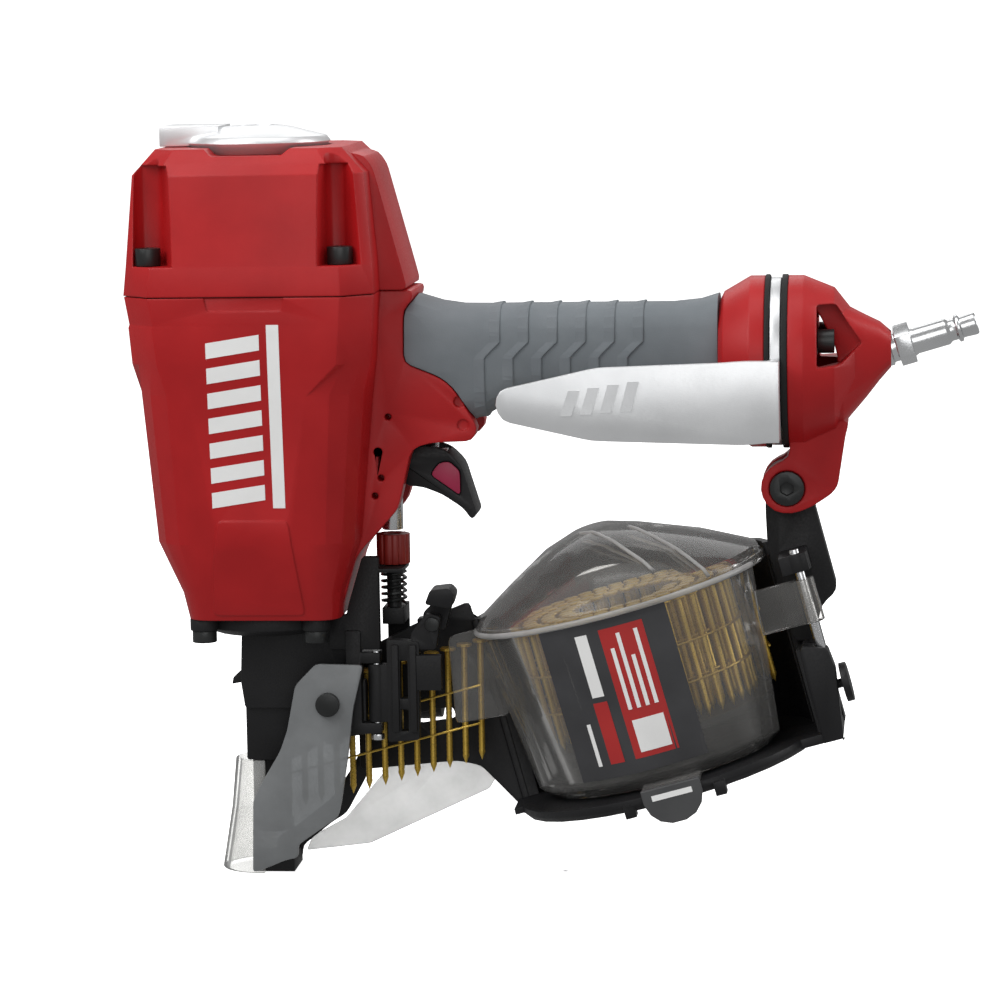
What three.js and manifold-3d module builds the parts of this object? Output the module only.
// Pneumatic coil nailer for siding and roofing work, modelled as an assembly of separate parts.
// Millimetres, +Z up. The drive axis is vertical and the handle runs towards +X.
// Inside this file x = 0 is the drive axis and z = 0 the tip of the work contact; the exported
// group moves everything so that the origin is the middle of the footprint.
import * as THREE from "three";
import { mergeVertices } from "three/addons/utils/BufferGeometryUtils.js";
import Module from "manifold-3d";

const wasm = await Module();
wasm.setup();

// ---- driving dimensions -------------------------------------------------------------------
const FOOTPRINT_CENTRE_X = 107.9;
const FOOTPRINT_CENTRE_Y = -0.9;
const GAP = 0.3;

const HOUSING_BOTTOM = 97;
const HOUSING_TOP = 215.1;
const CAP_BOTTOM = 215.5;
const GASKET_PLAY = 0.05;
const CAP_TOP = 267;
const BOLT_X = 34.4;
const BOLT_Y = 36.4;
const BOLT_SEAT_Z = 226;

const BORE_R = 22;
const SLEEVE_R = 24.5;
const DRIVER_TIP_Z = 80;
const PISTON_BOTTOM = 194;

const HANDLE_Z = 192.5;
const FLANGE_Z = 187;
const FLANGE_R = 31;
const FLANGE_FRONT = 166.8;
const FLANGE_REAR = 183.3;
const END_CAP_FRONT = 191.6;
const SPIGOT_R = 21.5;
const PIVOT = { x: 190.7, z: 142.4, r: 9.6 };
const PLUG_TILT = THREE.MathUtils.degToRad(16);

const MAGAZINE_TILT = THREE.MathUtils.degToRad(15);
const MAGAZINE = { x: 145.5, z: 43.5 };
const COVER_HINGE = { u: 66, y: -20 };
const RIM_N = 64;
const CORNER_STEPS = 4;

const NAIL_LENGTH = 45;
const NAIL_PITCH = 6;
const NAIL_TIP_N = 15;
const SHANK_R = 1.2;
const HEAD_R = 3.2;
const CHANNEL_R = 4.5;

const ROD_X = 46.5;
const DOOR_HINGE = { x: 41, y: -11.5 };
const TRIGGER_PIN = { x: 44, z: 156.9, r: 1.4, bore: 1.7 };

// ---- materials ----------------------------------------------------------------------------
const finish = (color, roughness, metalness, opacity = 1) =>
  new THREE.MeshStandardMaterial({ color, roughness, metalness, opacity, transparent: opacity < 1 });
const red = finish(0xa82025, 0.4, 0.1);
const black = finish(0x1c1c1d, 0.5, 0.2);
const plastic = finish(0x232324, 0.55, 0);
const rubber = finish(0x77797c, 0.8, 0);
const seal = finish(0x151515, 0.85, 0);
const aluminium = finish(0xd5d8da, 0.35, 0.9);
const steel = finish(0xb4b6b8, 0.3, 1);
const smoke = finish(0x6b6862, 0.15, 0, 0.4);
const clear = finish(0xe9e9e4, 0.15, 0, 0.3);
const plated = finish(0xc09a2c, 0.35, 0.8);
const wheelRed = finish(0x9c2118, 0.5, 0);
const insertPink = finish(0xb03050, 0.5, 0);

// ---- solids -------------------------------------------------------------------------------
// A closed geometry as a manifold-3d solid, turned to face outwards.
function solid(geometry) {
  const bare = geometry.index ? geometry.toNonIndexed() : geometry.clone();
  for (const name of ["normal", "uv"]) bare.deleteAttribute(name);
  const merged = mergeVertices(bare, 1e-4);
  const source = merged.index.array;
  const triangles = [];
  for (let i = 0; i < source.length; i += 3) {
    const [a, b, c] = [source[i], source[i + 1], source[i + 2]];
    if (a !== b && b !== c && c !== a) triangles.push(a, b, c);
  }
  const make = (list) =>
    new wasm.Manifold(
      new wasm.Mesh({
        numProp: 3,
        vertProperties: merged.attributes.position.array,
        triVerts: new Uint32Array(list),
      }),
    );
  const made = make(triangles);
  return made.volume() < 0 ? make(triangles.reverse()) : made;
}

const join = (first, ...rest) => rest.reduce((sum, s) => sum.add(s), first);
const cut = (first, ...rest) => rest.reduce((left, s) => left.subtract(s), first);

function box(x0, x1, y0, y1, z0, z1) {
  const g = new THREE.BoxGeometry(x1 - x0, y1 - y0, z1 - z0);
  return solid(g.translate((x0 + x1) / 2, (y0 + y1) / 2, (z0 + z1) / 2));
}

// A round bar or cone along +Z from (x, y, z0) to z1.
function barZ(x, y, z0, z1, r, sides = 16, rTop = r) {
  const g = new THREE.CylinderGeometry(rTop, r, z1 - z0, sides);
  return solid(g.rotateX(Math.PI / 2).translate(x, y, (z0 + z1) / 2));
}

function barX(x0, x1, y, z, r, sides = 16, rEnd = r) {
  const g = new THREE.CylinderGeometry(rEnd, r, x1 - x0, sides);
  return solid(g.rotateZ(-Math.PI / 2).translate((x0 + x1) / 2, y, z));
}

function barY(y0, y1, x, z, r, sides = 16) {
  const g = new THREE.CylinderGeometry(r, r, y1 - y0, sides);
  return solid(g.translate(x, (y0 + y1) / 2, z));
}

// A profile of [radius, height] pairs spun about the Z axis through (x, y).
function spinZ(profile, sides = 24, x = 0, y = 0) {
  const g = new THREE.LatheGeometry(profile.map((p) => new THREE.Vector2(...p)), sides);
  return solid(g.rotateX(Math.PI / 2).translate(x, y, 0));
}

function spinX(profile, sides = 24, y = 0, z = 0) {
  const g = new THREE.LatheGeometry(profile.map((p) => new THREE.Vector2(...p)), sides);
  return solid(g.rotateZ(-Math.PI / 2).translate(0, y, z));
}

// A closed outline whose corners are rounded by r.
function outline(points, r = 0) {
  const shape = new THREE.Shape();
  const p = points.map(([x, y]) => new THREE.Vector2(x, y));
  p.forEach((corner, i) => {
    const before = p[(i + p.length - 1) % p.length];
    const after = p[(i + 1) % p.length];
    const reach = Math.min(r, before.distanceTo(corner) / 2.2, after.distanceTo(corner) / 2.2);
    const from = corner.clone().lerp(before, reach / before.distanceTo(corner));
    const to = corner.clone().lerp(after, reach / after.distanceTo(corner));
    if (i === 0) shape.moveTo(from.x, from.y);
    else shape.lineTo(from.x, from.y);
    if (reach > 0.01) shape.quadraticCurveTo(corner.x, corner.y, to.x, to.y);
  });
  shape.closePath();
  return shape;
}

// An outline in the XZ plane with thickness from y0 to y1.
function slab(shape, y0, y1, curveSegments = 2) {
  const g = new THREE.ExtrudeGeometry(shape, { depth: y1 - y0, bevelEnabled: false, curveSegments });
  return solid(g.rotateX(Math.PI / 2).translate(0, y1, 0));
}

// Closed rings with the same number of points, skinned one to the next and capped.
function loft(rings) {
  const n = rings[0].length;
  const position = rings.flat().flat();
  const index = [];
  for (let k = 0; k + 1 < rings.length; k++) {
    for (let i = 0; i < n; i++) {
      const [a, b] = [k * n + i, k * n + ((i + 1) % n)];
      index.push(a, b, b + n, a, b + n, a + n);
    }
  }
  const last = (rings.length - 1) * n;
  for (let i = 1; i + 1 < n; i++) {
    index.push(0, i + 1, i);
    index.push(last, last + i, last + i + 1);
  }
  const g = new THREE.BufferGeometry();
  g.setAttribute("position", new THREE.Float32BufferAttribute(position, 3));
  return solid(g.setIndex(index));
}

// A ring at height z: reach to the front, rear and sides, with corners that are cut straight
// (round 0) or follow a quarter circle (round 1).
function octagon(z, front, rear, side, corner, round = 0) {
  const quarter = Math.PI / 2;
  const reach = [[rear, side], [-front, side], [-front, -side], [rear, -side]];
  return reach.flatMap(([x, y], k) =>
    Array.from({ length: CORNER_STEPS + 1 }, (_, i) => {
      const t = i / CORNER_STEPS;
      const bend = (f) => corner * (round * f(quarter * (k + t)) +
        (1 - round) * ((1 - t) * f(quarter * k) + t * f(quarter * (k + 1))));
      return [
        x - Math.sign(x) * corner + bend(Math.cos), y - Math.sign(y) * corner + bend(Math.sin), z,
      ];
    }));
}

// A rounded rectangular ring across the handle at x.
function gripRing(x, low, high, half, count = 20) {
  const [middle, tall] = [(low + high) / 2, (high - low) / 2];
  const bend = (v) => Math.sign(v) * Math.abs(v) ** 0.62;
  return Array.from({ length: count }, (_, i) => {
    const a = (2 * Math.PI * i) / count;
    return [x, half * bend(Math.cos(a)), middle + tall * bend(Math.sin(a))];
  });
}

class Helix extends THREE.Curve {
  constructor(r, turns, length) {
    super();
    Object.assign(this, { r, turns, length });
  }
  getPoint(t, target = new THREE.Vector3()) {
    const a = 2 * Math.PI * this.turns * t;
    return target.set(this.r * Math.cos(a), this.r * Math.sin(a), this.length * t);
  }
}

function spring(r, wire, turns, length) {
  const section = outline([[wire, 0], [0, wire], [-wire, 0], [0, -wire]]);
  const extrudePath = new Helix(r, turns, length);
  return solid(new THREE.ExtrudeGeometry(section, { steps: turns * 8, extrudePath }));
}

// ---- scene graph --------------------------------------------------------------------------
const nailer = new THREE.Group();
const magazine = new THREE.Group();
magazine.rotation.y = -MAGAZINE_TILT;
magazine.position.set(MAGAZINE.x, 0, MAGAZINE.z);
nailer.add(magazine);

function add(name, made, material, parent = nailer) {
  const mesh = made.getMesh();
  const g = new THREE.BufferGeometry();
  g.setAttribute("position", new THREE.BufferAttribute(mesh.vertProperties, 3));
  g.setIndex(new THREE.BufferAttribute(mesh.triVerts, 1));
  g.computeVertexNormals();
  const part = new THREE.Mesh(g, material);
  part.name = name;
  parent.add(part);
  return part;
}

// The same slab of space on the near (s = -1) or far (s = 1) side of the middle plane.
const span = (s, near, far) => [Math.min(near * s, far * s), Math.max(near * s, far * s)];

const corners = [
  [-1, -1],
  [1, -1],
  [-1, 1],
  [1, 1],
];

// ---- housing, cylinder and cap -------------------------------------------------------------
const WEB = [
  [20, HOUSING_TOP], [57.5, HOUSING_TOP], [57.5, 212], [54, 208], [53.8, 189], [67, 183.5],
  [71.3, 179.9], [80.4, 165.4], [78.2, 160.7], [63, 160.2], [56.1, 158], [53.2, 146],
  [50.9, 136.2], [35.2, 119.1], [30.1, 101.5], [29, 98], [20, 98],
];
const WEB_HALF = 18;

const PANEL = [[-11.6, 134.8], [13.9, 134.8], [17.8, 99], [-15.5, 99], [-13.6, 120.7]];
const PANEL_PROUD = 0.5;
const LINE_PANEL = [[-12, 210.3], [14.4, 210.3], [15.6, 216], [-13.2, 216]];

// The lower body, grown outwards by the given amount.
const lowerRings = (grow) => [
  [HOUSING_BOTTOM, 25.8, 29.5, 27.6, 8],
  [107, 28, 31, 31, 11],
  [126, 36.3, 37.5, 38, 17],
  [180, 40.6, 43, 43.8, 20.5],
].map(
  ([z, front, rear, side, corner]) => octagon(z, front + grow, rear + grow, side + grow, corner, 1),
);

function mainHousing() {
  const body = loft([
    ...lowerRings(0),
    octagon(191, 41.6, 44.4, 44.9, 11),
    octagon(204, 42.4, 45.2, 45.8, 10.5),
    octagon(205.2, 42, 45.2, 45.8, 10.5),
    octagon(HOUSING_TOP, 43.5, 46, 46.7, 10.5),
  ]);
  const plates = [-1, 1].map((s) =>
    loft(lowerRings(PANEL_PROUD)).intersect(slab(outline(PANEL, 2), ...span(s, 20, 60))));
  const web = slab(outline(WEB, 3), -WEB_HALF, WEB_HALF, 2);
  const core = loft([gripRing(38, 181, 204, 11.5, 16), gripRing(170, 181, 204, 11.5, 16)]);
  const flange = spinX(
    [[0, FLANGE_FRONT], [22, FLANGE_FRONT], [25.5, 168.5], [FLANGE_R, 178], [FLANGE_R, FLANGE_REAR],
      [SPIGOT_R, FLANGE_REAR], [SPIGOT_R, END_CAP_FRONT - GAP], [0, END_CAP_FRONT - GAP]],
    24, 0, FLANGE_Z,
  );
  const chamber = spinZ([
    [0, 90], [24.8, 90], [24.8, 115], [33, 133], [33, 170], [38, 182], [38, 220], [0, 220],
  ]);
  const airway = barX(28, 195, 0, HANDLE_Z, 8.5, 16);
  const triggerSlot = box(38.3, 95, -9.8, 9.8, 105, 168);
  const valveBore = barZ(62, 0, 163, 186, 7.3, 16);
  const rearBolts = [-1, 1].map((s) => barX(172, 196, 15.5 * s, 195.5, 2.7, 10));
  const capBolts = corners.map(([i, j]) => barZ(BOLT_X * i, BOLT_Y * j, 195, 220, 2.9, 10));
  const pinHole = barY(-20, 20, TRIGGER_PIN.x, TRIGGER_PIN.z, TRIGGER_PIN.bore, 12);
  const noseBolts = corners.map(([i, j]) => barZ(20.5 * i, 20.5 * j, 90, 107, 2.2, 10));
  const panels = [-1, 1].map((s) => slab(outline(LINE_PANEL, 1), ...span(s, 46, 60)));
  const drilled = [
    [47.9, 169.6, 1.3, 10.6], [44.9, 147.5, 1.3, 10.6], [42.6, 141, 1.3, 10.6],
    [73.7, 174.9, 2.1, 15.5], [75, 166.5, 2.1, 17.3],
  ].flatMap(([x, z, r, depth]) => [barY(-19, -depth, x, z, r, 12), barY(depth, 19, x, z, r, 12)]);
  return cut(
    join(body, web, core, flange, ...plates),
    chamber, airway, triggerSlot, valveBore, pinHole,
    ...rearBolts, ...capBolts, ...noseBolts, ...panels, ...drilled,
  );
}

// Plan outlines of the bolt pockets in the cap's corners, for the +Y side.
const FRONT_POCKET = [
  [-39.4, 32], [-37, 29], [-31.5, 29], [-29.6, 30.5], [-24, 46], [-23.5, 60], [-39.4, 60],
];
const REAR_POCKET = [
  [26.5, 60], [27.5, 46], [29.3, 31], [31, 29], [35.5, 29], [39.4, 35], [44.5, 42], [45, 60],
];
const POCKET_TOP = 261.5;

function cylinderCap() {
  const dome = loft([
    octagon(CAP_BOTTOM, 43.7, 46.2, 46.8, 10.5),
    octagon(BOLT_SEAT_Z, 42.6, 45.8, 46.4, 10.5),
    octagon(258, 40.2, 43, 42.6, 10.5),
    octagon(CAP_TOP, 32.6, 34.5, 34.6, 8),
  ]);
  const spineOutline = [
    [30, CAP_BOTTOM], [56, CAP_BOTTOM], [55, 220], [44.6, 259], [41.5, 263.5], [30, 266],
  ];
  const spine = slab(outline(spineOutline, 2), -20, 20, 2);
  const chamber = spinZ([[0, 210], [30, 210], [30, 248], [26, 252], [0, 252]], 24);
  const deflectorSeat = barZ(0, 0, 263, 270, 27, 24);
  const notch = slab(outline([[-16.5, 270], [-11.1, 264.4], [13.8, 264.4], [20.7, 270]], 1), -50, -15);
  const ports = Array.from({ length: 6 }, (_, i) => {
    const a = (Math.PI * (2 * i + 1)) / 6;
    return barZ(15 * Math.cos(a), 15 * Math.sin(a), 250, 266, 4.2, 12);
  });
  const hollow = (plan, s) => {
    const shape = outline(plan.map(([x, y]) => [x, y * s]), 1.5);
    const depth = POCKET_TOP - BOLT_SEAT_Z;
    return solid(new THREE.ExtrudeGeometry(shape, { depth, bevelEnabled: false, curveSegments: 2 })
      .translate(0, 0, BOLT_SEAT_Z));
  };
  const pockets = [-1, 1].flatMap((s) => [hollow(FRONT_POCKET, s), hollow(REAR_POCKET, s)]);
  const driverWay = corners.map(([i, j]) => barZ(BOLT_X * i, BOLT_Y * j, BOLT_SEAT_Z, 270, 4.9, 16));
  const boltHoles = corners.map(([i, j]) => barZ(BOLT_X * i, BOLT_Y * j, 210, 230, 2.9, 10));
  const screwHole = barZ(0, 0, 254, 270, 2.6, 10);
  return cut(
    join(dome, spine), chamber, deflectorSeat, notch, screwHole,
    ...ports, ...pockets, ...driverWay, ...boltHoles,
  );
}

function capGasket() {
  const ring = loft([
    octagon(HOUSING_TOP + GASKET_PLAY, 42.6, 45.1, 45.7, 10.5),
    octagon(CAP_BOTTOM - GASKET_PLAY, 42.6, 45.1, 45.7, 10.5),
  ]);
  const holes = corners.map(([i, j]) => barZ(BOLT_X * i, BOLT_Y * j, 210, 220, 2.9, 10));
  return cut(ring, barZ(0, 0, 210, 220, 34, 24), ...holes);
}

// A socket head cap screw, head up, seated at z.
function socketScrew(x, y, z, headR, headH, shankR, shankL) {
  const head = barZ(x, y, z, z + headH, headR, 16);
  const shank = barZ(x, y, z - shankL, z + 1, shankR, 10);
  return cut(join(head, shank), barZ(x, y, z + headH / 2, z + headH + 1, headR * 0.5, 6));
}

add("main_housing", mainHousing(), red);
add("cap_gasket", capGasket(), seal);
add("cylinder_cap", cylinderCap(), red);
corners.forEach(([i, j], k) =>
  add(
    `cap_bolt_${k + 1}`, socketScrew(BOLT_X * i, BOLT_Y * j, BOLT_SEAT_Z + 0.1, 4.6, 6.3, 2.5, 29),
    black,
  ));

add(
  "cylinder_sleeve", cut(barZ(0, 0, 97.2, 217, SLEEVE_R, 24), barZ(0, 0, 90, 220, BORE_R, 24)),
  aluminium,
);
add("piston", spinZ([
  [0, PISTON_BOTTOM], [9, PISTON_BOTTOM], [12, 198], [21.5, 198], [21.5, 210], [8, 210], [6, 206], [0, 206],
]), aluminium);
add("driver_blade", cut(
  barZ(0, 0, DRIVER_TIP_Z, PISTON_BOTTOM - 0.1, 3.3, 12),
  box(2, 5, -5, 5, 70, 175),
), steel);
add("bumper", spinZ([
  [6, 97.2], [20, 97.2], [21.4, 101], [19.5, 107], [21.4, 113], [18, 117], [6, 117], [6, 97.2],
], 24), seal);
add("head_valve", spinZ([
  [6, 217.2], [27, 217.2], [29.5, 220], [29.5, 230], [12, 230], [12, 226], [6, 226], [6, 217.2],
]), plastic);
add("head_valve_spring", spring(19, 1.1, 3, 17).translate([0, 0, 232.4]), steel);

// ---- exhaust deflector ----------------------------------------------------------------------
function exhaustDeflector() {
  const dome = spinZ([
    [0, 264.3], [23.5, 264.3], [26.6, 268.4], [25, 270.4], [13, 273.6],
    [8.8, 274.3], [7.4, 274.3], [6.4, 270.3], [0, 270.3],
  ], 32);
  const spout = box(-33.6, -12, -13, 13, 267.3, 274.5);
  const duct = box(-40, -9, -10.8, 10.8, 268.2, 272.6);
  const post = barZ(0, 0, 260, 280, 5.5, 16);
  const inside = barZ(0, 0, 260, 268.8, 20.5, 24);
  return cut(
    join(dome, spout, barZ(0, 0, 264.3, 270, 5.5, 16)), duct.subtract(post), inside.subtract(post),
    barZ(0, 0, 260, 280, 2.8, 12));
}
add("exhaust_deflector", exhaustDeflector(), aluminium);
add("deflector_screw", socketScrew(0, 0, 270.4, 4.4, 2.4, 2.4, 15), steel);

// ---- handle -----------------------------------------------------------------------------------
function handleGrip() {
  const sleeve = loft([
    gripRing(51.5, 180, 213.6, 19), gripRing(58, 166, 212.8, 19), gripRing(66, 162.5, 210.4, 18.4),
    gripRing(74, 162.5, 209.2, 17.6), gripRing(84, 169.5, 209, 16.6), gripRing(95, 175.8, 209, 16),
    gripRing(150, 176, 209, 15.6), gripRing(160, 174, 210, 16.8), gripRing(
      FLANGE_FRONT - 0.2, 172, 212, 18,
    ),
  ]);
  const core = loft([gripRing(30, 180.6, 204.4, 11.9, 16), gripRing(175, 180.6, 204.4, 11.9, 16)]);
  const play = 0.45;
  const around = [[0, 0], [play, 0], [0, play], [0, -play]];
  const webCut = around.map(([dx, dz]) => slab(outline(WEB, 3), -24, 24, 2).translate([dx, 0, dz]));
  const slot = box(38, 95, -10.2, 10.2, 105, 168.6);
  const valve = barZ(62, 0, 160, 185, 7.6, 16);
  const capClear = box(40, 58, -30, 30, HOUSING_TOP, 220);
  return cut(sleeve, core, slot, valve, capClear, ...webCut);
}
add("handle_grip", handleGrip(), rubber);

const ringSeal = (x0, x1) =>
  cut(
    barX(x0, x1, 0, FLANGE_Z, FLANGE_R + 0.4, 24),
    barX(x0 - 1, x1 + 1, 0, FLANGE_Z, SPIGOT_R + 0.4, 24),
  );
add("hook_seal_front", ringSeal(FLANGE_REAR + 0.1, 185.1), seal);
add("hook_seal_rear", ringSeal(189.3, END_CAP_FRONT - 0.1), seal);

const HOOK = [
  [189, 190.8], [176.9, 190.9], [169.2, 190.3], [124.9, 188.9], [90.5, 181.3], [88.8, 176],
  [91.4, 170.3], [123, 163.1], [176.6, 161.3], [189, 162.3],
];
function rafterHook() {
  const ring = cut(
    barX(185.3, 189, 0, FLANGE_Z, 30.4, 24),
    barX(180, 195, 0, FLANGE_Z, SPIGOT_R + 0.4, 24),
  );
  const blade = slab(outline(HOOK, 3), -41, -38);
  const strap = cut(box(185.3, 189, -41, -24, 162, 190.6), barX(180, 195, 0, FLANGE_Z, 25, 24));
  return join(ring, blade, strap);
}
add("rafter_hook", rafterHook(), aluminium);

// The tail of the end cap and the air plug share one axis, tilted up from the handle's.
const tail = new THREE.Matrix4()
  .makeTranslation(227.6, 0, 191.4)
  .multiply(new THREE.Matrix4().makeRotationY(-PLUG_TILT));
const onTail = (s) => s.transform(tail.elements);

const TAIL_POCKET = [[201.8, 208.6], [208.4, 208.6], [217.8, 194.6], [210.1, 187.5], [201.8, 186.7]];

function endCap() {
  const dome = spinX([
    [0, END_CAP_FRONT], [FLANGE_R, END_CAP_FRONT], [FLANGE_R, 197], [26.5, 208], [17.5, 215], [0, 217],
  ], 24, 0, FLANGE_Z);
  const tailBlock = loft([
    gripRing(198, 164, 210, 24), gripRing(211, 164.5, 207.6, 19.5), gripRing(219.1, 174, 203.4, 14.5),
    gripRing(224, 180.3, 201, 11.8), gripRing(228, 184.9, 197.5, 9.4),
  ]);
  const lugShape = outline([
    [191.8, 175], [213, 166], [211.8, 161.9], [208.9, 143.4], [206.7, 140.5], [199.6, 135.8],
    [192.5, 133.2], [186, 134], [181.6, 139], [181.2, 145], [184.5, 150], [191.8, 153.5],
  ], 3);
  const lug = slab(lugShape, -13, 13);
  const inside = spinX([[0, 190], [24, 190], [24, 200], [10, 209], [0, 209]], 24, 0, FLANGE_Z);
  const pockets = [-1, 1].map((s) =>
    join(
      slab(outline(TAIL_POCKET, 1), ...span(s, 9.8, 40)),
      barX(185, 203, 15.5 * s, 195.5, 3, 10),
    ));
  const bosses = [-1, 1].map((s) => barX(END_CAP_FRONT, 202, 15.5 * s, 195.5, 6, 16));
  const threads = onTail(barX(-30, 5, 0, 0, 6.6, 16));
  const fork = box(178, 200.5, -5.6, 5.6, 128, 153.4);
  const pinHole = barY(-20, 20, PIVOT.x, PIVOT.z, 4.3, 16);
  const washerSeats = [-1, 1].map((s) => barY(...span(s, 11.4, 20), PIVOT.x, PIVOT.z, 6.6, 20));
  return cut(
    join(cut(join(dome, tailBlock, lug), inside), ...bosses),
    ...pockets, threads, fork, pinHole, ...washerSeats,
  );
}
add("end_cap", endCap(), red);
[-1, 1].forEach((s, k) => {
  const screw = cut(
    join(barX(202, 208, 15.5 * s, 195.5, 4.3, 16), barX(175, 203, 15.5 * s, 195.5, 2.5, 10)),
    barX(205, 209, 15.5 * s, 195.5, 2.1, 6));
  add(`end_cap_bolt_${k + 1}`, screw, black);
});

function airPlug() {
  const body = spinX([
    [0, -12], [6.3, -12], [6.3, 0.2], [5.4, 0.4], [5.4, 2.4], [5.2, 8.5], [4.8, 9.5], [4.8, 21], [3.9, 22.2], [3.9, 24.4],
    [5, 24.8], [5, 26], [3.8, 26.4], [4.1, 31.4], [3.6, 32.2], [0, 32.2],
  ], 20);
  const hex = barX(2.6, 8.2, 0, 0, 7.6, 6);
  return onTail(cut(join(body, hex), barX(-20, 40, 0, 0, 2.4, 10)));
}
add("air_plug", airPlug(), steel);

// ---- trigger and its valve ----------------------------------------------------------------------
const TRIGGER = [
  [38.9, 160], [54.9, 158], [60.7, 158], [64.7, 157.4], [68.3, 155.8], [73, 151], [78.5, 133.1],
  [76.6, 130.9], [73.4, 135.3], [65.9, 140.3], [59, 143], [52.4, 143.6], [52.4, 151.3], [44, 151.3], [38.9, 153],
];
function trigger() {
  const shell = slab(outline(TRIGGER, 2), -9, 9);
  const channel = slab(
    outline([[36, 149.5], [53.5, 149.5], [66, 145.5], [70.5, 143], [66, 165], [36, 165]], 0), -6.6,
    6.6,
  );
  const pinBore = barY(-20, 20, TRIGGER_PIN.x, TRIGGER_PIN.z, TRIGGER_PIN.bore, 12);
  const insertSeat = slab(
    outline([[61.4, 147.5], [64.7, 152.1], [68.6, 152.8], [72.9, 149], [72.9, 139.2]], 1.6), -12, -8,
  );
  return cut(shell, channel, pinBore, insertSeat);
}
add("trigger", trigger(), plastic);
add(
  "trigger_insert",
  slab(
    outline([[61.8, 147.5], [64.9, 151.7], [68.5, 152.4], [72.5, 148.8], [72.5, 139.9]], 1.4), -9.2,
    -8.1,
  ),
  insertPink,
);
add("trigger_pin", barY(-17.2, 17.2, TRIGGER_PIN.x, TRIGGER_PIN.z, TRIGGER_PIN.r, 12), black);
add(
  "trigger_lever", slab(outline([[50.9, 155], [67.4, 154.6], [67.4, 156], [50.9, 156.4]], 0.5), -4, 4),
  steel,
);
add("valve_body", cut(barZ(62, 0, 163.5, 183, 6.9, 16), barZ(62, 0, 160, 190, 3, 12)), aluminium);
add("valve_stem", join(barZ(62, 0, 156.6, 174, 2.2, 12), barZ(62, 0, 170, 174, 2.7, 12)), steel);

// ---- nose ---------------------------------------------------------------------------------------
function noseBody() {
  const flange = spinZ([[0, 90], [20, 90], [25.5, 92.6], [25.5, 96.8], [0, 96.8]], 24);
  const pads = corners.map(([i, j]) => barZ(20.5 * i, 20.5 * j, 92.6, 96.8, 5.2, 16));
  const neck = slab(
    outline([[-8.6, 91], [-9.4, 72], [-8, 62], [10, 62], [30, 70], [30, 91]], 1), -11, 9,
  );
  const column = slab(
    outline(
      [[-8, 63], [-8, 42.4], [8, 42.4], [14, 45], [22, 50], [36.5, 52], [36.5, 72], [12, 72], [10, 63]],
      1,
    ),
    -9.4, 9,
  );
  const barrel = barZ(0, 0, 15, 44, 7.4, 20);
  const doorEars = cut(
    join(box(33, 42.5, -14, -6, 53, 57), box(33, 42.5, -14, -6, 79, 83)),
    barZ(DOOR_HINGE.x, DOOR_HINGE.y, 50, 90, 1.8, 10),
  );
  const strut = box(30, 35.5, -14, -6, 53, 91);
  const rodGuard = slab(
    outline(
      [[24, 84], [42.5, 84], [42.5, 118], [36.6, 118], [31.4, 101], [30.4, 96.6], [24, 96.6]], 0.8,
    ),
    -13, -9,
  );
  const springSeat = cut(box(38, 51.5, -13, 5.5, 112.2, 113.7), barZ(ROD_X, 0, 110, 116, 3.3, 12));
  const clip = slab(outline([[-8, 71], [-13.5, 70], [-13, 72.5], [-8, 77]], 0.4), -6, -1);
  const channel = barZ(0, 0, 5, 100, CHANNEL_R, 20);
  const nailSlot = slab(outline([[0, 17], [45, 28.7], [45, 86], [0, 74]]), -4, 4);
  const pawlWindow = box(3.5, 31, 0, 20, 43, 54.5);
  const trackRelief = box(30.2, 60, 5.2, 20, 40, 92);
  const heads = corners.map(
    ([i, j]) => join(
      barZ(20.5 * i, 20.5 * j, 70, 92.6, 4.9, 16), barZ(20.5 * i, 20.5 * j, 90, 98, 2.2, 10),
    ),
  );
  return cut(
    join(flange, ...pads, neck, column, barrel, strut, rodGuard, springSeat, doorEars, clip), channel,
    nailSlot, pawlWindow,
    trackRelief, ...heads, barZ(0, 0, 93, 98, 8, 20));
}
add("nose_body", noseBody(), black);
corners.forEach(([i, j], k) => {
  const screw = cut(
    join(barZ(20.5 * i, 20.5 * j, 88.2, 92.5, 4.5, 16), barZ(20.5 * i, 20.5 * j, 92, 106, 1.95, 10)),
    barZ(20.5 * i, 20.5 * j, 87, 90.5, 2.3, 6));
  add(`nose_bolt_${k + 1}`, screw, black);
});

function clearGuard() {
  const shell = spinZ(
    [[8, 42], [9.6, 42], [11.4, 24], [15.3, 1.2], [13.8, 1.2], [9.9, 24], [8, 41], [8, 42]], 28, -4,
  );
  const front = box(-30, -1.5, -30, 30, 0, 50);
  return cut(shell.intersect(front), barZ(0, 0, 10, 50, 7.7, 20));
}
add("clear_guard", clearGuard(), clear);

const GUARD = [
  [19.6, 79.6], [36.9, 79.1], [32.9, 62.8], [30.7, 45.4], [27.9, 28.5], [26.6, 23], [13.8, 14.1], [11.6, 12.4], [11.5, 7.8],
  [7, 6.9], [-3.4, 2.6], [-5.4, 2.5], [-4.7, 28.9], [-1.3, 35.6], [5.6, 47.1], [8.5, 55], [11.8, 71.6],
];
add(
  "nose_guard", join(slab(outline(GUARD, 1.5), -18.5, -16.5), box(20, 27, -16.6, -11.3, 61, 68.5)),
  smoke,
);
add(
  "guard_screw", join(barY(-21, -18.7, 23.8, 64.8, 4.4, 20), box(22.5, 25, -18.9, -18.6, 64, 65.6)),
  black,
);

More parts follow.
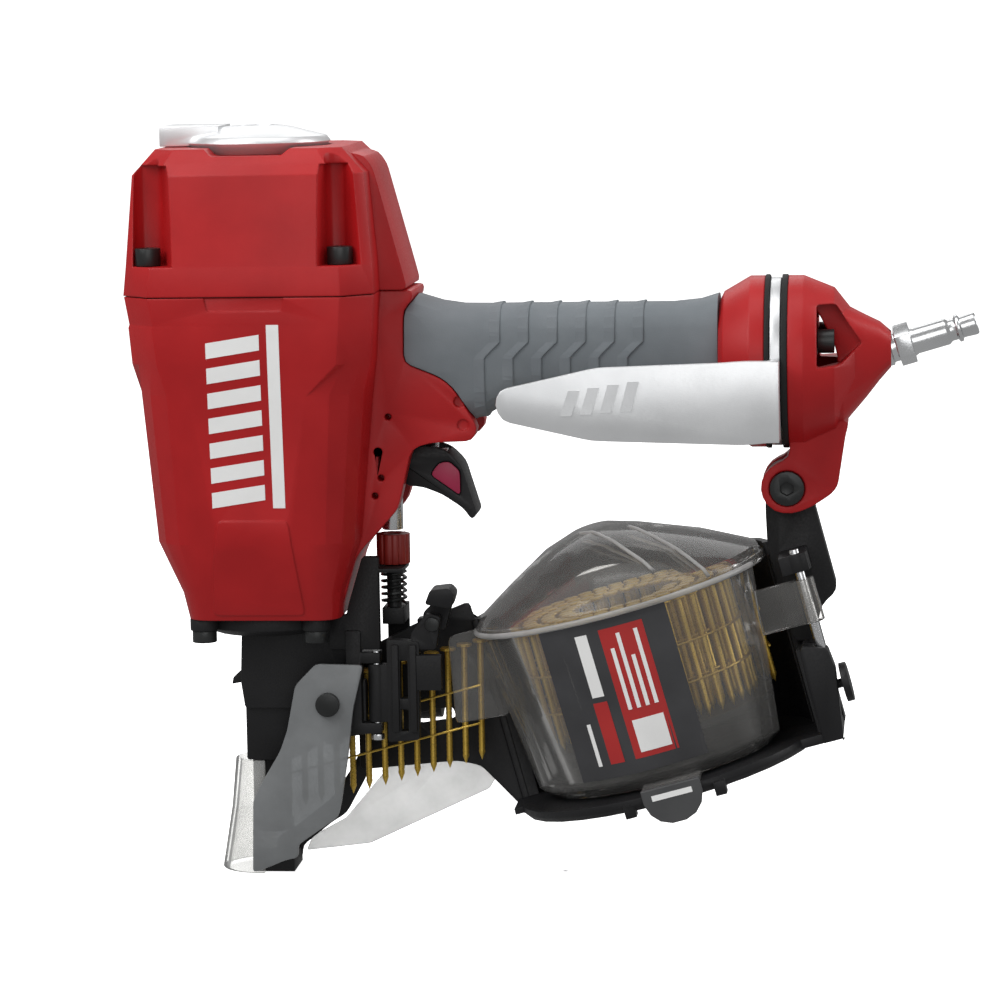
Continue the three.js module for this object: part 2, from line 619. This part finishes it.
// Work contact: the foot, its arm past the far side of the nail track, and the threaded stud.
function contactArm() {
  const foot = join(box(-7, 8.3, -7, 7, 0, 6), box(0, 8.3, -7, 12.5, 0, 6));
  const arm = slab(outline([
    [-1, 0.6], [8.3, 0.6], [8.8, 6], [20, 15], [25.6, 18.5], [32.5, 31], [36, 38.4], [44, 46], [50.5, 60],
    [50.5, 98], [42.5, 98], [42.5, 66], [35.5, 50], [27.5, 35], [20, 24], [6, 13], [-1, 9],
  ], 2), 10, 12.5);
  const bracket = box(42.5, 50.5, -4.5, 12.5, 92, 98);
  const stud = barZ(ROD_X, 0, 97, 124.5, 2.7, 12);
  return cut(join(foot, arm, bracket, stud), barZ(0, 0, -2, 12, 5, 20));
}
add("contact_arm", contactArm(), black);

function depthWheel() {
  const knurls = Array.from({ length: 12 }, (_, i) => {
    const a = (Math.PI * i) / 6;
    return barZ(ROD_X + 6.6 * Math.cos(a), 6.6 * Math.sin(a), 110, 130, 0.9, 6);
  });
  return cut(barZ(ROD_X, 0, 114, 125, 6.2, 24), barZ(ROD_X, 0, 110, 130, 3, 12), ...knurls);
}
add("depth_wheel", depthWheel(), wheelRed);
add("contact_rod", barZ(ROD_X, 0, 126.5, 143, 3.9, 16), steel);
add("contact_spring", spring(4.4, 0.75, 5, 12).translate([ROD_X, 0, 99]), black);

// ---- nail feed ------------------------------------------------------------------------------------
const FEED = { y: 22.5, z: 61, r: 9 };
const PAWL = { x: 22, y: 9.5 };
add("feed_cylinder", cut(
  join(barX(24, 58, FEED.y, FEED.z, FEED.r, 20), box(23.8, 31, 9.2, 20, 58, 66)),
  barX(26.5, 60, FEED.y, FEED.z, 7, 20), barX(20, 30, FEED.y, FEED.z, 2.6, 12),
), black);
add("feed_piston", join(
  barX(
    34, 39.3, FEED.y, FEED.z, 6.7, 20,
  ), barX(20, 35, FEED.y, FEED.z, 2.2, 12), box(18.5, 21.5, 13.5, 25, 45, 64),
  box(18.5, 25, 7.2, 14, 45, 46.6), box(18.5, 25, 7.2, 14, 51.9, 53.4), barZ(
    PAWL.x, PAWL.y, 46, 52.5, 1.2, 12,
  ),
), steel);
add(
  "feed_spring", cut(spring(4.6, 0.7, 4, 14)).rotate([0, 90, 0]).translate([40.2, FEED.y, FEED.z]),
  steel,
);
add(
  "feed_plug",
  join(
    barX(56, 58, FEED.y, FEED.z, 6.7, 20), barX(58.1, 61, FEED.y, FEED.z, 8.4, 20),
    barX(57, 59, FEED.y, FEED.z, 6, 20),
  ),
  black,
);
add("feed_pawl", cut(
  join(
    barZ(PAWL.x, PAWL.y, 47, 51.5, 2.4, 12), box(13.4, 23.6, 5.4, 7.8, 47, 51.5),
    box(13.4, 15.6, 0.3, 7.8, 47, 51.5),
  ),
  barZ(PAWL.x, PAWL.y, 40, 60, 1.35, 12),
), steel);

// ---- feed door and latch ----------------------------------------------------------------------------
function feedDoor() {
  const plate = slab(outline([[45, 50], [56.5, 50.8], [57, 87], [45, 88]], 1), -14, -9);
  const ribs = [47, 53.5].map((x) => box(x, x + 2.4, -15.6, -13, 54, 86));
  const arm = box(55, 65, -15.2, -11.2, 69.3, 82.2);
  const lift = slab(outline([[54, 84], [63, 84], [65, 96], [60, 97.5], [54, 90]], 1), -13.5, -9);
  const knuckle = join(
    barZ(DOOR_HINGE.x, DOOR_HINGE.y, 57.4, 78.6, 3.2, 16), box(DOOR_HINGE.x, 46, -14, -9, 57.4, 78.6),
  );
  const slots = [box(49.8, 52.6, -20, -5, 66, 80), box(49.8, 52.6, -20, -5, 54, 62)];
  return cut(
    join(plate, ...ribs, arm, lift, knuckle), barZ(DOOR_HINGE.x, DOOR_HINGE.y, 50, 90, 1.8, 10),
    barY(-20, 0, 62, 93.5, 1.7, 10), ...slots);
}
add("feed_door", feedDoor(), black);
add(
  "door_pin",
  join(
    barZ(DOOR_HINGE.x, DOOR_HINGE.y, 51, 83.4, 1.6, 10),
    barZ(DOOR_HINGE.x, DOOR_HINGE.y, 50.6, 52.8, 2.5, 10),
  ),
  steel,
);
add("door_latch", cut(
  join(
    slab(
      outline(
        [
          [58, 90.5], [66, 90.5], [68, 98], [70.5, 104.5], [68.3, 107], [62, 105.6], [60.5, 99],
          [58, 97],
        ],
        1,
      ),
      -8.6, -3.4,
    ),
    slab(outline([[59.5, 101], [69, 99.5], [70.5, 104.5], [68.3, 107], [61.5, 106.2]], 1), -16, -3.4)),
  barY(-20, 0, 62, 93.5, 1.7, 10),
), plastic);
add(
  "latch_pin", join(barY(-14.6, -3, 62, 93.5, 1.45, 10), barY(-15.2, -13.8, 62, 93.5, 2.6, 10)), black,
);

// ---- magazine, in its own tilted frame: u along the track, n up from the floor ------------------------
const ring = (outer, inner, n0, n1, sides = 32) => cut(
  barZ(0, 0, n0, n1, outer, sides), barZ(0, 0, n0 - 1, n1 + 1, inner, sides),
);

function magazineBase() {
  const floor = spinZ(
    [[0, -6.2], [42, -6.2], [49, -8], [54.5, -8], [56, -6], [56, -3.6], [0, -3.6]], 32,
  );
  const backWall = ring(57, 54.6, -6, RIM_N + 1).intersect(box(-60, 60, 5.5, 60, -10, 80));
  const leftFloor = box(-58, -30, -12, 8, -6, -3.6);
  const rightFloor = box(30, 65.5, -24, 12, -7, -3.6);
  const post = slab(
    outline([[58.5, -7], [65.5, -7], [69.3, 18], [68.5, 26], [60, 29], [58.5, 27]], 1), -24.5, -15.5,
  );
  const rightWall = box(56.8, 59.2, -18, 14, -6, 27);
  const armWall = box(58, 66, 5.3, 10, -6, 40);
  const lowerTie = box(55, 66, 5.3, 14, -6, 60);
  const track = slab(outline([
    [-112, 22], [-76, 16], [-68, 12], [-58, -6], [-50, -6], [-50, RIM_N + 1], [-55.5, RIM_N + 1], [-55.5, RIM_N + 8],
    [-78, 69], [-101, 64],
  ], 2), 5.6, 8);
  const window = slab(outline([[-86, 33], [-72, 31.5], [-72, 36], [-86, 37]], 1.5), 0, 12);
  const spindle = barZ(0, 0, -4, 12, 5, 16);
  const feet = [-14, 19].map((u) => box(u, u + 4, -55, -49, -10, -5));
  const topRail = slab(outline([[-76, 63], [-55.8, 63], [-55.8, 68], [-76, 71]], 1), 5.6, 11);
  return cut(
    join(
      floor, backWall, leftFloor, rightFloor, post, rightWall, armWall, lowerTie, track, spindle,
      topRail, ...feet,
    ),
    window, barZ(COVER_HINGE.u, COVER_HINGE.y, 19, 40, 2.1, 12), barZ(0, 0, 2, 20, 2.5, 8),
    barX(62, 75, -20, 12, 1.9, 12),
  );
}
add("magazine_base", magazineBase(), plastic, magazine);

// The arm that hangs the magazine from the end cap, and the upper hinge ear of the cover.
function magazineBracket() {
  const outer = outline([
    [187.5, 151], [183, 148], [182.6, 134], [183.2, 121], [192.2, 86], [200, 86], [202.6, 98.9], [208.4, 104.5],
    [200.6, 134], [197.5, 150], [192, 151.5],
  ], 2.5);
  const arm = cut(slab(outer, -5, 5), barY(-20, 20, PIVOT.x, PIVOT.z, 4.3, 16));
  return arm;
}
add("magazine_bracket", (() => {
  const ear = join(
    box(60, 70, -24, -4, 55, 61.5), barZ(COVER_HINGE.u, COVER_HINGE.y, 55, 61.5, 4.6, 16),
  )
    .subtract(barZ(COVER_HINGE.u, COVER_HINGE.y, 50, 70, 2.1, 12))
    .rotate([0, -15, 0]).translate([MAGAZINE.x, 0, MAGAZINE.z]);
  return join(magazineBracket(), ear);
})(), black);

add("cover_hinge_pin", barZ(COVER_HINGE.u, COVER_HINGE.y, 19.3, 63, 1.8, 12), steel, magazine);

// The swing cover: tapered near wall, domed top, inlet tongue, hinge bar and pull tab.
function coverSkin(inset) {
  const levels = [
    [-3.2 + inset, 0, 43, 43], [1 + inset * 0.4, 0, 48, 48], [60, 0, 54, 54], [RIM_N, 0, 54, 54], [RIM_N + 2.6, 0.3, 52, 52.4],
    [75, -1, 37, 42], [83.4 - inset * 0.7, -4, 19, 27],
    [87 - inset, -4, 8, 15],
  ];
  return loft(levels.map(([n, u, du, dy]) =>
    Array.from({ length: 32 }, (_, i) => {
      const a = (2 * Math.PI * i) / 32;
      return [u + (du - inset) * Math.cos(a), (dy - inset) * Math.sin(a), n];
    })));
}
function magazineCover() {
  const outer = join(coverSkin(0), barZ(0, 0, RIM_N - 3, RIM_N, 54.5, 32));
  const inner = join(coverSkin(2), barZ(0, 0, -10, 1, 40, 32));
  const farCut = join(
    box(-60, 60, -0.6, 60, -10, RIM_N + 1.4),
    box(-60, -20, -9, 10, -10, RIM_N + 1.4),
    box(38, 60, -19, 10, -10, RIM_N - 3.5),
    box(56, 80, -60, 60, -10, 90),
  );
  const shell = cut(outer, inner, farCut);
  const tongue = slab(outline([[-70, 32], [-50, 30], [-50, 63.5], [-64, 63.5]], 2), -11, -9);
  const bar = join(
    box(47.5, COVER_HINGE.u, -22.4, -17.6, 36, 52),
    barZ(COVER_HINGE.u, COVER_HINGE.y, 36, 52, 4.4, 16),
  );
  const tabPlate = box(-6, 15, -58.6, -40, -3.2, -1.2).subtract(barZ(0, 0, -10, 10, 42, 32));
  const tab = cut(
    slab(
      outline(
        [[-6, -1.2], [15, -1.2], [15, -6], [12, -12], [7, -14.4], [2, -14.4], [-3, -12], [-6, -6]], 3,
      ),
      -58.6, -56.4,
    ),
    slab(outline([[-2.8, -5.6], [11.8, -5.6], [11.8, -3.2], [-2.8, -3.2]], 1), -60, -50),
  );
  return cut(
    join(shell, tongue, bar.subtract(coverSkin(1)), tabPlate, tab),
    barZ(COVER_HINGE.u, COVER_HINGE.y, 30, 60, 2.1, 12),
  );
}
add("magazine_cover", magazineCover(), smoke, magazine);

add(
  "tray_knob", join(barX(70.4, 73, -20, 12, 7.2, 20), barX(62.4, 71, -20, 12, 1.7, 12)), plastic,
  magazine,
);

add("nail_platform", cut(
  join(
    barZ(0, 0, NAIL_TIP_N - 3.2, NAIL_TIP_N - 0.6, 44, 32),
    barZ(0, 0, NAIL_TIP_N - 3.2, 46, 8, 16),
  ),
  barZ(0, 0, 5, 40, 5.3, 16),
), plastic, magazine);

// The collated nails as one spiral band of the same height and pitch as the rolled strip.
function nailCoil() {
  const [turns, steps, inner, outer] = [4, 22, 18, 45.6];
  const along = (side) =>
    Array.from({ length: turns * steps + 1 }, (_, i) => {
      const a = (2 * Math.PI * i) / steps;
      const r = inner + ((outer - inner) * i) / (turns * steps) + side * 0.7;
      return [r * Math.cos(a), -r * Math.sin(a)];
    });
  const shape = outline([...along(1), ...along(-1).reverse()]);
  const depth = NAIL_LENGTH - 1.6;
  return solid(
    new THREE.ExtrudeGeometry(shape, { depth, bevelEnabled: false }).translate(0, 0, NAIL_TIP_N - 0.3),
  );
}
add("nail_coil", nailCoil(), plated, magazine);

// The strip between coil and nose: upright nails at a constant pitch, tied by two wires.
function nailStrip() {
  const c = Math.cos(MAGAZINE_TILT);
  const s = Math.sin(MAGAZINE_TILT);
  const height = (x) => MAGAZINE.z + ((x - MAGAZINE.x) * s) / c + NAIL_TIP_N / c;
  const first = 5.8;
  const count = 13;
  const nails = Array.from({ length: count }, (_, i) => {
    const x = first + NAIL_PITCH * i;
    const z = height(x);
    return join(
      barZ(x, 0, z + 3, z + NAIL_LENGTH - 0.4, SHANK_R, 5),
      barZ(x, 0, z, z + 3.05, 0.2, 5, SHANK_R),
      barZ(x, 0, z + NAIL_LENGTH - 1.4, z + NAIL_LENGTH, HEAD_R * 0.9, 6),
    );
  });
  const last = first + NAIL_PITCH * (count - 1);
  const wires = [14, 28].map((up) =>
    slab(outline([
      [first, height(first) + up], [last, height(last) + up],
      [last, height(last) + up + 0.8], [first, height(first) + up + 0.8],
    ]), -1.5, -0.7));
  return join(...nails, ...wires);
}
add("nail_strip", nailStrip(), plated);

add("nail_shield", join(
  slab(
    outline(
      [
        [9.6, 3.6], [34, 6.5], [79, 27.4], [83, 34.5], [66, 42], [50, 44.3], [40, 34], [24.8, 16],
        [12, 9],
      ],
      1,
    ),
    13.2, 14.8,
  ),
  box(58, 64, 8.3, 13.4, 40, 43),
), clear);

add("bracket_bolt", cut(join(
  barY(-14, -11.6, PIVOT.x, PIVOT.z, 6.2, 20), barY(-13, 14, PIVOT.x, PIVOT.z, 3.9, 16),
  barY(11.6, 14.5, PIVOT.x, PIVOT.z, 6, 6),
), barY(-15, -12.2, PIVOT.x, PIVOT.z, 2.6, 6)), black);

nailer.position.set(-FOOTPRINT_CENTRE_X, -FOOTPRINT_CENTRE_Y, 0);
const assembly = new THREE.Group();
assembly.add(nailer);

export default assembly;
